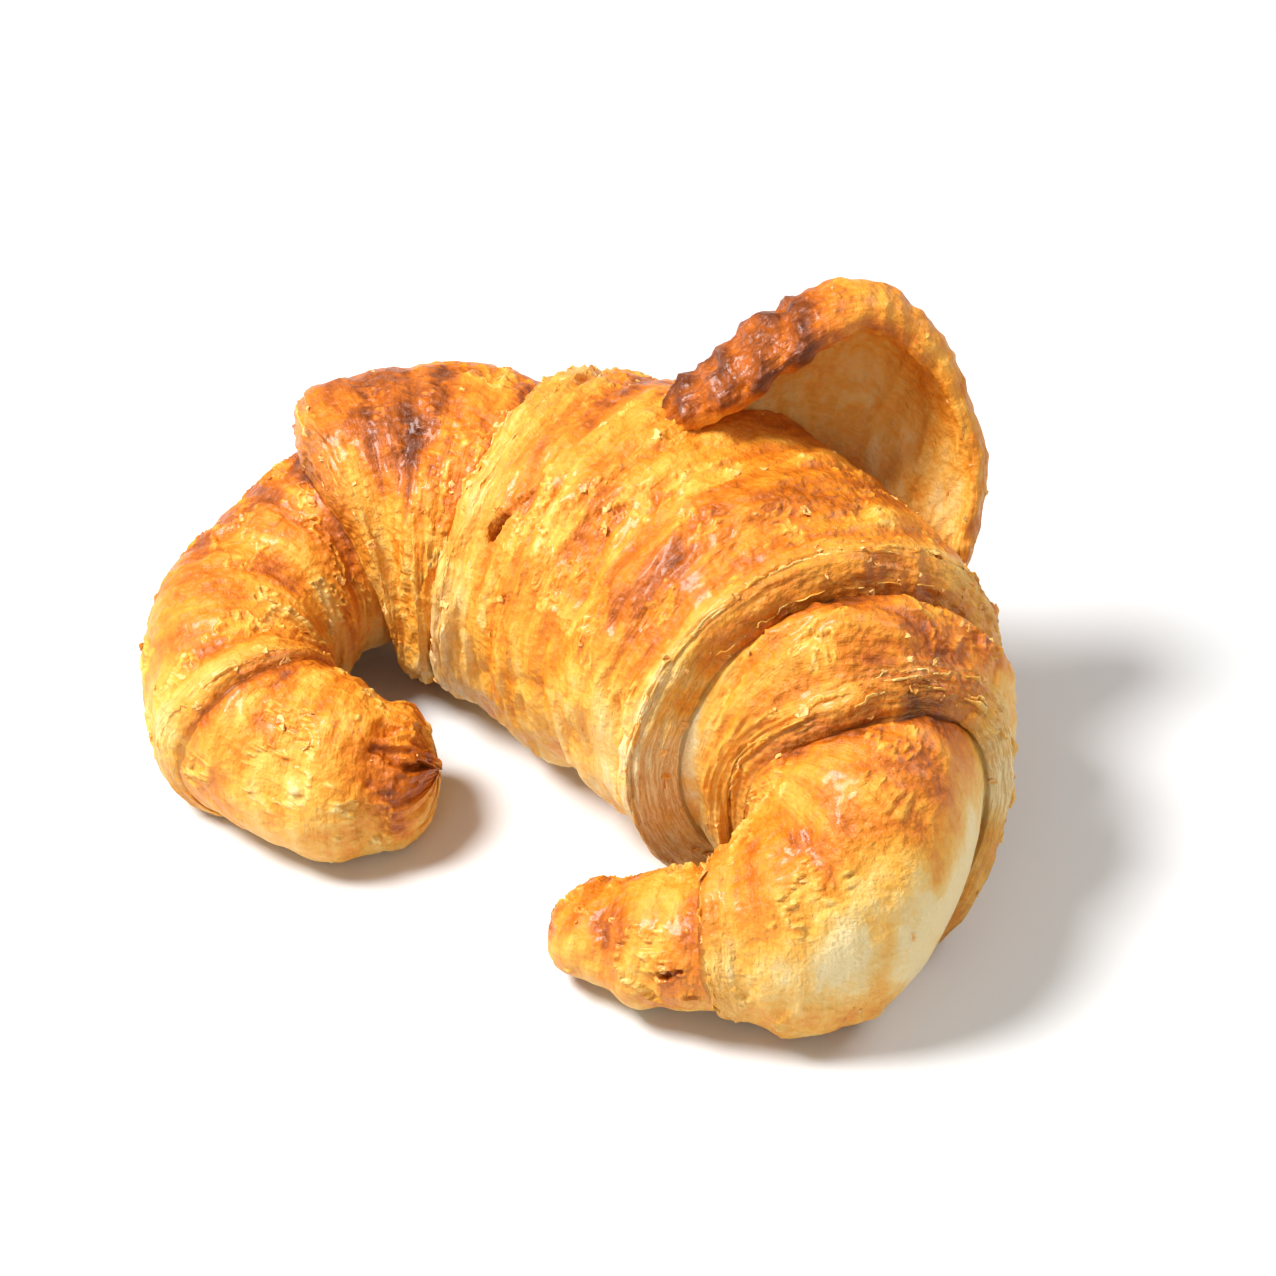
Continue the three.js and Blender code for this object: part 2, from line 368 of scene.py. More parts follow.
# %% Layers at the torn edges
LEAF = 1.25  # mm from one leaf's edge to the next; real leaves are thinner, and too fine to show
COARSE_LEAF = {"middle_left_crease": 2.6}  # mm, where several leaves baked together
PALER_LEAVES = {"middle_left_crease": 0.16}  # less browned, being thick and damp, and more raised
LEAF_RUN = 18  # mm along a leaf before its edge changes
LIPS = {"left_crease": "left_arm_lip", "shoulder_crease": "shoulder_lip",
        "middle_left_crease": "middle_left_lip", "right_wrap_crease": "middle_right_lip",
        "right_arm_crease": "right_wrap_lip", "right_crease": "right_arm_lip"}
RUN_OVER = {"left_crease": 2, "shoulder_crease": 1, "middle_left_crease": 11,
            "right_wrap_crease": 2, "right_arm_crease": 3, "right_crease": 2}  # mm past the lip
CALM = 2.2  # mm from a crease within which the relief dies away
SHADY = 4.5  # mm past a crease, on the side with no cliff, that is painted dark as the overhang's shade
ring_names = [ring[0] for ring in RINGS]
lip_of = {crease: ring_names.index(lip) for crease, lip in LIPS.items()}
layered = np.zeros_like(length)
leaves = np.zeros_like(length)
calm = np.ones_like(length)
# painted shade of the creases: the skin is darkened next to each crease, over its cliff on one side and under
# the overhang on the other, most on top of the roll
deep = np.zeros_like(length)
paler = np.zeros_like(length)
for c in CREASES:
    name = RINGS[c][0]
    crease, lip = path[ring_row[c]], path[ring_row[lip_of[name]]]
    away = np.sign(lip_of[name] - c) * (path - crease)
    cliff = np.abs(lip - crease)
    here = ramp(away, 0, 0.8) * (1 - ramp(away, cliff, cliff + RUN_OVER[name]))
    leaves = np.where(here > layered, away / COARSE_LEAF.get(name, LEAF), leaves)
    paler = np.maximum(paler, here * PALER_LEAVES.get(name, 0))
    layered = np.maximum(layered, here)
    calm = np.minimum(calm, ramp(np.abs(away), 0, CALM))
    deep = np.maximum(deep, 1 - ramp(np.abs(away), 0.5, np.where(away > 0, cliff, SHADY)))
deep = deep * (0.2 + 0.8 * ramp(np.broadcast_to(sin, deep.shape), 0.3, 0.85))
leaves = leaves + 0.6 * fractal(straightened(16, 40), 21) + 0.15 * noise(straightened(3, 40), 25)
laminae = np.stack([leaves, radius * cos / LEAF_RUN + wrap[:, None] * 7.0, radius * sin / LEAF_RUN], -1)
leaf_step = noise(laminae * (1.1, 1, 1), 27)
leaf_relief = 0.9 * (0.3 - np.abs(leaf_step)) + 0.28 * noise(laminae * (2.4, 2, 2), 29)
layers = layered * (1 + 5 * paler) * leaf_relief
print("share of the skin that is torn edge:", round(float((layered > 0.5).mean()), 3))

# %% [markdown]
# ## Where the oven browned it
# Heat comes from above, and the egg wash is thickest on top, so the tops of the wraps go red
# brown while the sides that face each other stay golden and the parts rolled underneath stay the
# cream of bare dough. A rule gives most of it, and a list of spots says where this one bread
# is darker or paler than the rule.

# %% Browning
# length along, degrees round, half length and half breadth in mm, change of browning
SPOTS = [
    (78, 88, 11, 17, 0.26), (85, 118, 7, 9, 0.14), (69, 70, 5, 12, 0.16),  # crown of the shoulder
    (74, 160, 9, 10, -0.03), (84, 185, 8, 10, -0.04),
    (56, 48, 10, 12, 0.18), (40, 60, 10, 6, 0.06), (30, 75, 8, 12, 0.04), (48, 148, 14, 7, -0.02),
    (12, 60, 12, 14, -0.06), (14, 10, 10, 8, 0.04), (-2, 30, 6, 11, 0.30),  # left tip and its nose
    (111, 90, 6, 18, 0.20), (105, 60, 6, 10, 0.10), (133, 108, 8, 15, -0.10), (124, 148, 8, 9, 0.06),
    (149, 84, 5, 38, 0.17), (144, 128, 6, 9, 0.09), (157, 100, 5, 16, 0.02), (136, 185, 10, 8, 0.04),
    (150, 180, 16, 16, -0.16), (164, 176, 6, 24, -0.30),  # low front of the middle
    (174, 58, 7, 10, 0.18), (174, 135, 7, 12, -0.04), (171, 178, 9, 14, -0.17), (177, 8, 9, 10, -0.22),
    (188, 60, 5, 9, 0.20), (200, 92, 6, 8, -0.02), (193, 120, 8, 8, -0.04),
    (198, 16, 11, 9, -0.30), (188, 2, 10, 9, -0.22), (207, 50, 7, 10, 0.08), (203, 150, 8, 8, -0.05),
    (224, 45, 8, 6, 0.10), (221, 90, 9, 7, -0.10), (219, -5, 10, 5, 0.08), (236, 60, 5, 8, 0.10),
]


def near(along, degrees, half_length, half_breadth, turn=0.0):
    """How far each point is from a spot on the skin: 0 at its middle, 1 at its edge."""
    a = length - along
    b = (np.mod(angle - math.radians(degrees) + math.pi, 2 * math.pi) - math.pi) * radius
    slant = math.radians(turn)
    a, b = a * math.cos(slant) + b * math.sin(slant), b * math.cos(slant) - a * math.sin(slant)
    return np.hypot(a / half_length, b / half_breadth)


BASE_BROWNING, TOP_BROWNING = 0.28, 0.25  # of the lowest dough, and what the top has more
height = ramp(normal[..., 2], -0.9, 0.9)
cliff_height = ramp(np.broadcast_to(sin - 0.35 * cos, height.shape), 0.1, 1.15)
height = height * (1 - layered) + layered * cliff_height
browning_and_painted_light = BASE_BROWNING + TOP_BROWNING * height - paler
blotchy = 1 + 0.5 * fractal(straightened(7, 5), 33)
ragged_rim = 0.55 * fractal(straightened(9, 4.5), 36, 4)
for *spot, change in SPOTS:
    browning_and_painted_light = browning_and_painted_light + change * blotchy * (1 - ramp(near(*spot) + ragged_rim, 0.3, 1.5))
browning_and_painted_light = browning_and_painted_light + 0.17 * fractal(straightened(16, 8), 31) + 0.12 * noise(straightened(15, 3.5), 35)
print("browning_and_painted_light from", round(float(browning_and_painted_light.min()), 2), "to", round(float(browning_and_painted_light.max()), 2))

# %% [markdown]
# ## Folds, wrinkles, blisters and peeling skin
# As the steam inside escapes, the skin sinks into soft folds that run round the roll. Where it
# browned most it is gritty with tiny blisters, and the thinnest outer leaf lifts and flakes off in
# patches with ragged edges. All of them are moves of the mesh along its outward direction, fading
# to nothing in the creases. In each line below the two numbers of `straightened` are the size of
# the pattern in mm, round the roll and along it, and the number after them is its seed.

# %% Relief of the skin
SWELL, FOLD, CREASE, BLISTER_RISE, PEEL, CURL = 1.5, 1.7, 0.45, 0.42, 0.50, 0.35  # mm
FULL_RADIUS = 24  # mm; a wrap slimmer than this gets shallower folds
folds = noise(straightened(22, 7.5) + 0.6 * fractal(straightened(12, 9), 41)[..., None], 43)
folds = FOLD * (np.abs(folds) - 0.32) * (0.35 + 0.65 * ramp(fractal(straightened(30, 22), 44), -0.3, 0.3))
folds = folds + CREASE * noise(straightened(12, 3.2), 45)
swell = SWELL * fractal(straightened(17, 17), 47)
crumpled = ramp(fractal(straightened(16, 9), 46), -0.1, 0.45)
wrinkles = np.abs(noise(straightened(12, 2.5) + 0.5 * noise(straightened(6, 5), 48)[..., None], 49))
wrinkles = (0.25 + 0.85 * crumpled) * (0.3 - wrinkles)
blister_way = cells(straightened(2.3, 1.7), 51)
blisters = BLISTER_RISE * np.maximum(0.55 - blister_way, 0) * ramp(browning_and_painted_light, 0.35, 0.65)
peel_field = fractal(straightened(12, 7), 53) + 0.25 * noise(straightened(1.8, 1.4), 57)
glazed = ramp(browning_and_painted_light, 0.28, 0.42) * (1 - layered)
peeled = ramp(peel_field, 0.28, 0.31) * glazed
curled = np.exp(-(((peel_field - 0.25) / 0.035) ** 2)) * glazed
fullness = (np.minimum(radius, FULL_RADIUS) / FULL_RADIUS) ** 0.7
# painted light: the crests of folds and wrinkles are made paler, as a painted sheen, and their troughs
# darker, as painted shade
browning_and_painted_light = browning_and_painted_light - 0.15 * folds - 0.12 * wrinkles + 0.04 * crumpled
relief = (swell + folds + wrinkles) * fullness + blisters - PEEL * peeled + CURL * curled
relief = relief * (1 - 0.6 * layered) + layers
print("share of the skin that is peeled:", round(float((peeled > 0.5).mean()), 3))

# %% [markdown]
# The blunt left tip didn't close when it was rolled. It is split into a few lobes, and the clefts
# between them are darkened as painted shade.

# %% Split nose of the left tip
NOSE = 6  # mm of the roll that is split
nose = 1 - ramp(length, 0, NOSE)
split = noise(np.stack([length / 5, radius * cos / 3.1, radius * sin / 3.1], -1)
              + 0.5 * fractal(straightened(5, 5), 58)[..., None], 59)
relief = relief + nose * (1.2 * (0.25 - np.abs(split)) - 0.9 * ramp(split, 0.25, 0.45))
# painted shade: darker towards and inside the clefts of the split
browning_and_painted_light = browning_and_painted_light + nose * (0.12 * ramp(split, 0.1, 0.4) - 0.05)
print("points on the split nose:", int((nose > 0.5).sum()))

# %% [markdown]
# A few holes show where a bubble of steam burst. Each is pushed straight in, has an edge of noise,
# and stands up a little round its rim, where the torn leaf curled.

# %% Tears and holes
# length along, degrees round, half length, half breadth, slant, depth: all mm and degrees
TEARS = [
    (109.8, 141, 2.0, 2.9, 30, 4.2), (112.6, 133, 1.2, 4.0, 32, 1.0), (132.3, 121, 0.5, 1.8, 30, 0.8),
    (218.1, 14, 0.9, 1.0, 0, 1.2), (216.3, 19, 0.5, 0.5, 0, 0.8), (214.8, -6, 0.9, 0.4, 0, 0.7),
]
RAISED_RIM = 0.3  # mm
DARK_DEPTH = 5  # mm; a hole this deep gets the darkest painted shade inside
# painted shade inside the holes: the deeper a hole, the darker its inside
torn = np.zeros_like(length)
for *spot, depth in TEARS:
    from_hole = near(*spot) + 0.35 * noise(straightened(1.0, 1.0), 61)
    raised = RAISED_RIM * np.exp(-(((from_hole - 1.25) / 0.25) ** 2))
    relief = relief - depth * (1 - ramp(from_hole, 0.65, 1.05)) + raised
    torn = np.maximum(torn, (1 - ramp(from_hole, 0.75, 1.0)) * min(1, depth / DARK_DEPTH))
print(len(TEARS), "tears, over", int((torn > 0).sum()), "points")

# %% [markdown]
# Near the tray the relief grows faint, because the bread lay flat on it, and nothing may go
# through the table.

# %% The finished skin
SKIRT = 3.0  # mm above the table over which the relief comes in
TRAY_GRAIN = 0.05  # mm that the underside is uneven
skirt = ramp(bare[..., 2], 0.0, SKIRT)
relief = relief * calm * (0.25 + 0.75 * skirt)
crust = bare + normal * relief[..., None]
crust[..., 2] = np.maximum(crust[..., 2], TRAY_GRAIN * (1 + noise(straightened(4, 4), 63)))
crust = crust + PLACED
print("relief, mm:", round(float(relief.min()), 2), "to", round(float(relief.max()), 2))

# %% [markdown]
# ## Meshes of the body
# One mesh would pass 200,000 triangles, so the body is cut where the dough itself is parted: in
# two of its creases. Each part is closed, and its ends tuck in under its neighbour, as the wraps
# of the real roll do. The maps of browning and layers go along as attributes, for the material.

# %% Mesh helpers
def mesh_of(name, points, faces, fields):
    """A smooth mesh object in metres with a number or a vector for each point."""
    mesh = bpy.data.meshes.new(name)
    mesh.from_pydata((points * MM).tolist(), [], faces)
    for field, values in fields.items():
        kind, slot_name = ("FLOAT", "value") if values.ndim == 1 else ("FLOAT_VECTOR", "vector")
        mesh.attributes.new(field, kind, "POINT").data.foreach_set(slot_name, values.astype("f").ravel())
    mesh.shade_smooth()
    piece = bpy.data.objects.new(name, mesh)
    bpy.context.scene.collection.objects.link(piece)
    return piece


def closed_tube(name, grid, fields, ends):
    """A mesh from rows of closed loops, with a pole point at each end."""
    rows, columns = grid.shape[:2]
    points = np.vstack([grid.reshape(-1, 3), ends])
    corner = np.arange(rows * columns).reshape(rows, columns)
    turned = np.roll(corner, -1, axis=1)
    quads = np.stack([corner[:-1], turned[:-1], turned[1:], corner[1:]], -1).reshape(-1, 4)
    first = [(int(b), int(a), rows * columns) for a, b in zip(corner[0], turned[0])]
    last = [(int(a), int(b), rows * columns + 1) for a, b in zip(corner[-1], turned[-1])]
    carried = {
        field: np.concatenate([values.reshape(rows * columns, *values.shape[2:]),
                               values[[0, -1], 0].reshape(2, *values.shape[2:])])
        for field, values in fields.items()
    }
    return mesh_of(name, points, quads.tolist() + first + last, carried)


print("a whole section of the roll has", len(angle), "points")

# %% [markdown]
# Flakes will lie where something tore: mostly along the cliffs, round the lifted edges of the peels
# and on the tops, and none on the table side. That map is made here, beside the others.

# %% Maps on the crust
flaky = 0.35 * height + 0.8 * curled + 1.6 * layered
flaky = flaky * ramp(bare[..., 2], 3, 8) * ramp(normal[..., 2], -0.5, 0.1)
FIELDS = {"browning_and_painted_light": browning_and_painted_light, "layered": layered, "peeled": peeled, "curled": curled,
          "torn": torn, "flaky": flaky, "deep": deep, "skin": skin, "laminae": laminae}
print("maps on the crust:", ", ".join(FIELDS))

# %% [markdown]
# The roll is cut in the creases on both sides of the middle. Each cut end is carried on for three
# millimetres, getting narrower, so that it hides inside the wrap next to it.

# %% Body meshes
TUCK = ((0.96, 1.2), (0.80, 3.0))  # share of the end loop's size, and mm beyond it
CUTS = "middle_left_crease", "right_wrap_crease"
cut_at = [0, *(ring_row[ring_names.index(name)] for name in CUTS), len(crust) - 1]
body = []
for part, start, stop in zip(("left_arm", "middle", "right_arm"), cut_at, cut_at[1:]):
    rows = crust[start:stop + 1]
    fields = {field: values[start:stop + 1] for field, values in FIELDS.items()}
    for end, away in ((0, -1), (-1, 1)):
        tip = (start, stop)[end] in (0, len(crust) - 1)
        loop, centre = rows[end], rows[end].mean(axis=0)
        ahead = np.cross(outward_at(length[(start, stop)[end]].mean(keepdims=True))[0], (0, 0, 1)) * away
        for size, beyond in () if tip else TUCK:
            extra = (centre + (loop - centre) * size + ahead * beyond)[None]
            rows = np.concatenate([extra, rows] if end == 0 else [rows, extra])
            for field, values in fields.items():
                same = values[end][None]
                fields[field] = np.concatenate([same, values] if end == 0 else [values, same])
    poles = np.stack([rows[0].mean(axis=0), rows[-1].mean(axis=0)])
    piece = closed_tube(part + "_crust", rows, fields, poles)
    body.append(piece)
    print(piece.name, len(piece.data.polygons) * 2, "triangles")

# %% [markdown]
# ## The tail
# The last corner of the triangle was left long. It stands up behind the middle and curls forward
# like a hood, its rim rolled over and, at the free end, burnt to knobs. It is drawn as a closed
# outline, up its back, over the rolled rim and down its front, carried along the dough's edge.
# Nine places along that edge are given, and smooth curves through them make all the others.

# %% Tail
# rim point, root point inside the body, belly of the wall, radius of the rolled rim, its hook
TAIL = [
    (-7, 13, 61.5, -6, 17, 53, 0, 3.6, 1), (-1, 18.5, 69.5, -3, 20, 51, 2, 4.4, 3),
    (3.5, 26, 75, 1, 25, 48, 4, 4.2, 4), (7.5, 34, 77.5, 5, 29, 45, 6, 3.8, 4.5),
    (12.5, 40.5, 75, 10, 32, 41, 7, 3.1, 3.6), (19, 44, 68, 17, 33, 37, 6, 2.5, 2.0),
    (25.5, 44.5, 58.5, 22, 33, 33, 4, 2.1, 0.8), (30, 42.5, 48.5, 26, 32, 29, 2, 1.9, 0.4),
    (32, 39, 39, 28, 30, 26, 0, 1.8, 0),
]
STATIONS, WALL_POINTS, RIM_POINTS = 170, 44, 34
RIM_TURN = math.radians(215)
RIM_DROP = 1.7  # radii below the top of the rim where its roll meets the front
ROOT_HALF, WALL_HALF = 2.6, 2.0  # mm, half the wall at its root and below its rim


def unit(v):
    return v / np.linalg.norm(v, axis=-1, keepdims=True)


stations = np.linspace(0, 1, STATIONS)
drawn = smooth_curve(TAIL, stations)
rim, root = drawn[:, :3], drawn[:, 3:6]
belly, roll, hook = np.maximum(drawn[:, 6:], 0).T[..., None]
tall = np.linalg.norm(rim - root, axis=1)[:, None]
up = (rim - root) / tall
way = np.gradient(drawn, axis=0)
back = unit(np.cross(up, unit(way[:, :3]) + unit(way[:, 3:6])))


def bow(y):
    return 4 * belly * y * (tall - y) / tall**2


def half_wall(y):
    return ROOT_HALF + (WALL_HALF - ROOT_HALF) * y / tall


print("tail is", round(float(tall.max())), "mm tall at the most")

# %% [markdown]
# The outline at every station has three parts: up the back, over the rolled rim and down the
# front. All stations are worked out at once, as rows of one table.

# %% Outline of the tail
climb = np.linspace(0, 1, WALL_POINTS, endpoint=False)
bend = np.linspace(0, RIM_TURN, RIM_POINTS)
neck = tall - roll
back_y, front_y = neck * climb, (tall - RIM_DROP * roll) * climb[::-1]
broad = roll + hook / 2
rim_x = bow(neck) + WALL_HALF - broad + broad * np.cos(bend)
outline_x = np.hstack([bow(back_y) + half_wall(back_y), rim_x, bow(front_y) - half_wall(front_y)])
outline_y = np.hstack([back_y, neck + roll * np.sin(bend), front_y])
sheet = root[:, None] + outline_x[..., None] * back[:, None] + outline_y[..., None] * up[:, None]
print("tail outline has", sheet.shape[1], "points at each of", STATIONS, "stations")

# %% [markdown]
# The tail gets the same kinds of relief, with its own rules: folds that run up the wall, a row of
# knobs and pits where the free end burnt, and an inside painted paler, as a glow of light through
# the thin wall, with painted shade under the rim.

# %% Relief and browning of the tail
PIT = 2.6  # mm between the pits that burnt into the free end
KNOB = 7.2  # mm from one knob to the next
rim_way = np.concatenate([[0], np.cumsum(np.linalg.norm(np.diff(rim, axis=0), axis=1))])[:, None]
over = np.linspace(-1, 1, sheet.shape[1])[None]  # -1 root of the back, 0 the rim, 1 root of the front
upward = outline_y / tall
tail_skin = np.stack([rim_way + 0 * over, 40 * over + 0 * rim_way, 0 * rim_way + 0 * over + 7], -1)
flat = np.zeros_like(tail_skin[..., 0])  # a map of nothing, which also spreads a row over the sheet
tail_normal = -facing(sheet)
rim_share = ramp(upward, 0.62, 0.92)
burnt = (1 - ramp(rim_way, 22, 34)) * rim_share
knob = np.cos(rim_way / KNOB * 2 * np.pi + 0.6 + 1.4 * noise(tail_skin / 7, 71))
near_pit = cells(tail_skin / PIT, 73)
tail_relief = 0.8 * fractal(tail_skin / (11, 15, 9), 75)
tail_relief += 0.9 * (np.abs(noise(tail_skin / (4.2, 13, 9), 79)) - 0.3)
tail_relief += burnt * (0.45 * knob + 1.5 * (0.5 - near_pit)) + 0.12 * noise(tail_skin / (1.3, 1.6, 9), 81)
# the last term makes the inside of the hood, on the front, paler: a painted glow of light coming through the
# thin wall
tail_browning_and_painted_light = 0.37 + 0.12 * rim_share + 0.36 * burnt - 0.08 * ramp(over, 0.1, 0.5)
tail_browning_and_painted_light = tail_browning_and_painted_light + 0.14 * fractal(tail_skin / (7, 12, 9), 83)
tail_browning_and_painted_light = tail_browning_and_painted_light - burnt * (0.08 * knob + 0.26 * (0.5 - near_pit))
# painted shade: a darker band on the front, just under the rolled rim, where the rim's overhang shades it
front_shade = ramp(over, 0.08, 0.16) * (1 - ramp(over, 0.28, 0.6)) * (1 - ramp(rim_way, 48, 64))
tail_browning_and_painted_light = tail_browning_and_painted_light + 0.12 * front_shade
hood = sheet + tail_normal * (tail_relief * ramp(upward, 0.05, 0.3))[..., None]
print("tail relief, mm:", round(float(tail_relief.min()), 1), "to", round(float(tail_relief.max()), 1))

# %% [markdown]
# The material reads the same maps here as on the body. Only the sheet's edge, just inside the rim,
# shows its layers, and the two ends are rounded, with caps that get smaller in five steps.

# %% Tail mesh
from_rim = np.abs(over)
TAIL_FIELDS = {
    "browning_and_painted_light": tail_browning_and_painted_light, "torn": flat, "curled": flat, "deep": flat,
    "skin": tail_skin[..., [1, 0, 2]],
    "laminae": np.stack([flat + over * 30, flat + rim_way / LEAF_RUN, flat], -1),
    "layered": 0.5 * ramp(rim_way, 26, 40) * ramp(from_rim, 0.0, 0.02) * (1 - ramp(from_rim, 0.04, 0.1)),
    "peeled": ramp(noise(tail_skin / (5, 7, 9), 85), 0.4, 0.46),
    "flaky": 0.3 * (1 - burnt) * ramp(upward, 0.3, 0.5),
}
CAP = 2.4  # mm that a rounded end stands out
ROUNDED = [(math.cos(t), math.sin(t)) for t in np.radians([80, 65, 50, 35, 18])]
rows = hood
for end, away in ((0, -1), (-1, 1)):
    loop, centre = hood[end], hood[end].mean(axis=0)
    forward = unit(way[end, :3]) * away
    caps = [centre + (loop - centre) * size + forward * CAP * reach for size, reach in ROUNDED]
    rows = np.concatenate([caps, rows] if end == 0 else [rows, caps[::-1]])
    for field, values in TAIL_FIELDS.items():
        same = np.repeat(values[end][None], len(caps), axis=0)
        TAIL_FIELDS[field] = np.concatenate([same, values] if end == 0 else [values, same])
rows = rows[:, ::-1] + PLACED
TAIL_FIELDS = {field: values[:, ::-1] for field, values in TAIL_FIELDS.items()}
poles = np.stack([rows[0].mean(axis=0), rows[-1].mean(axis=0)])
tail = closed_tube("tail_crust", rows, TAIL_FIELDS, poles)
body.append(tail)
print(tail.name, len(tail.data.polygons) * 2, "triangles")

# %% [markdown]
# ## Materials
# Colours are picked as the eye sees them, so each hex value is turned to linear light first. One
# helper adds every node, with its settings and what is plugged into it.

# %% Node helper
def linear(hex_colour):
    """An sRGB hex colour as linear red, green, blue and full alpha."""
    channels = [int(hex_colour[i:i + 2], 16) / 255 for i in (1, 3, 5)]
    return [c / 12.92 if c <= 0.04045 else ((c + 0.055) / 1.055) ** 2.4 for c in channels] + [1.0]


def add(tree, kind, inputs=None, **settings):
    """Adds a node; an input is a value, or another node's output to link."""
    node = tree.nodes.new(kind)
    for key, value in settings.items():
        setattr(node, key, value)
    for key, value in (inputs or {}).items():
        if isinstance(value, bpy.types.NodeSocket):
            tree.links.new(value, node.inputs[key])
        else:
            node.inputs[key].default_value = value
    return node


def new_material(name):
    material = bpy.data.materials.new(name)
    material.use_nodes = True
    material.node_tree.nodes.clear()
    return material, material.node_tree


print("half grey in linear light:", round(linear("#808080")[0], 3))

# %% [markdown]
# ## Egg-washed crust
# Baked egg glaze over laminated dough. Sugars and proteins in the glaze brown from cream through
# gold and orange to a red brown, never to grey. The eye also reads fine lines round the roll,
# where the fibres of the dough pulled, mottling a few millimetres wide and a grit of blisters.
# These patterns come first. Fibres and grit are really a quarter of a millimetre wide, too fine
# to show, so they are drawn two or three times as coarse.

# %% Patterns of the crust
egg_washed_crust, crust_tree = new_material("egg_washed_crust")
place = add(crust_tree, "ShaderNodeTexCoord").outputs["Object"]
MAPS = ("browning_and_painted_light", "layered", "peeled", "curled", "torn", "deep", "skin", "laminae")
maps = {name: add(crust_tree, "ShaderNodeAttribute", attribute_name=name).outputs for name in MAPS}
pulled = add(crust_tree, "ShaderNodeMapping", {"Vector": maps["skin"]["Vector"], "Scale": (1, 0.09, 0.09)})
# where the pattern lies, its size there, detail, roughness; `skin` counts in mm, `place` in metres
GRAINS = {
    "streak": (pulled.outputs[0], 1.0, 5.0, 0.55),
    "fine_streak": (pulled.outputs[0], 0.35, 3.0, 0.55),
    "mottle": (place, 4.0 * MM, 5.0, 0.6),
    "grit": (place, 0.8 * MM, 3.0, 0.55),
    "leaf_edge": (maps["laminae"]["Vector"], 0.24, 4.0, 0.7),
}
grain = {}
for name, (where, size, detail, roughness) in GRAINS.items():
    inputs = {"Vector": where, "Scale": 1 / size, "Detail": detail, "Roughness": roughness}
    grain[name] = add(crust_tree, "ShaderNodeTexNoise", inputs).outputs["Fac"]
BLISTER = 1.3 * MM
inputs = {"Vector": place, "Scale": 1 / BLISTER, "Randomness": 1.0}
grain["blister"] = add(crust_tree, "ShaderNodeTexVoronoi", inputs, feature="SMOOTH_F1").outputs["Distance"]
print("patterns of the crust:", ", ".join(grain))

# %% [markdown]
# One number decides the colour: how far this spot has baked, with painted light and shade mixed in.
# The map of browning gives most of it, and each pattern adds or takes a little; the maps of crease
# shade and hole shade darken it as painted shade. A colour ramp turns it from cream to red brown,
# and at the torn edges thin shadows are drawn between the leaves.

# %% Colour of the crust
baked_and_painted_light = maps["browning_and_painted_light"]["Fac"]
# how far each pattern swings the baking, and what each map adds to it where it is full
SWINGS = {"streak": 0.30, "mottle": 0.42, "grit": 0.16, "blister": 0.12}
# crease shade and hole shade are painted shade: they darken the colour in the creases and inside the holes
EXTRAS = {"peeled": -0.10, "curled": -0.26, "torn": 0.60, "layered": -0.03, "deep": 0.24}
shifts = [(grain[name], weight) for name, weight in SWINGS.items()]
shifts += [(maps[name]["Fac"], weight) for name, weight in EXTRAS.items()]
for amount, weight in shifts:
    inputs = {0: amount, 1: weight, 2: baked_and_painted_light}
    baked_and_painted_light = add(crust_tree, "ShaderNodeMath", inputs, operation="MULTIPLY_ADD").outputs[0]
# the patterns swing round a half, so half of their weights comes off again
inputs = {0: baked_and_painted_light, 1: sum(SWINGS.values()) / 2}
baked_and_painted_light = add(crust_tree, "ShaderNodeMath", inputs, operation="SUBTRACT", use_clamp=True, name="paler")
baked_and_painted_light = baked_and_painted_light.outputs[0]
BAKED = {0.0: "#ebd39b", 0.16: "#e9c06f", 0.32: "#e7a942", 0.46: "#df8e25",
         0.60: "#cd7213", 0.74: "#ac550b", 0.88: "#86400a", 1.0: "#642c07"}
LEAF_SHADOW = "#c08230"
colours = add(crust_tree, "ShaderNodeValToRGB", {"Fac": baked_and_painted_light})
marks = colours.color_ramp.elements
while len(marks) < len(BAKED):
    marks.new(0.5)
for mark, (position, colour) in zip(marks, BAKED.items()):
    mark.position, mark.color = position, linear(colour)
inputs = {"Value": grain["leaf_edge"], "From Min": 0.56, "From Max": 0.44, "To Max": 0.6}
between = add(crust_tree, "ShaderNodeMapRange", inputs).outputs[0]
inputs = {0: between, 1: maps["layered"]["Fac"]}
between = add(crust_tree, "ShaderNodeMath", inputs, operation="MULTIPLY").outputs[0]
inputs = {"Factor": between, 6: colours.outputs["Color"], 7: linear(LEAF_SHADOW)}
coloured = add(crust_tree, "ShaderNodeMix", inputs, data_type="RGBA").outputs[2]
print("crust colours:", " ".join(BAKED.values()))

# %% [markdown]
# The glaze is glossier where it browned more, and the bare dough stays matt. The smallest blisters
# and fibres are left to a bump, and the larger ones are already in the mesh. A little light goes
# in and comes out again, which is why thin pale dough glows.

# %% Gloss and bump of the crust
GLOSS_RANGE = {"From Min": 0.25, "From Max": 0.75, "To Min": 0.42, "To Max": 0.18}
gloss = add(crust_tree, "ShaderNodeMapRange", {"Value": baked_and_painted_light, **GLOSS_RANGE}).outputs[0]
inputs = {0: grain["grit"], 1: 0.35, 2: gloss}
gloss = add(crust_tree, "ShaderNodeMath", inputs, operation="MULTIPLY_ADD", use_clamp=True).outputs[0]
inputs = {0: grain["blister"], 1: baked_and_painted_light}
baked_blister = add(crust_tree, "ShaderNodeMath", inputs, operation="MULTIPLY").outputs[0]
uneven = 0.0
bumps = (baked_blister, -0.75), (grain["grit"], 0.42), (grain["fine_streak"], 0.16), (grain["streak"], 0.24)
for amount, weight in bumps:
    inputs = {0: amount, 1: weight, 2: uneven}
    uneven = add(crust_tree, "ShaderNodeMath", inputs, operation="MULTIPLY_ADD").outputs[0]
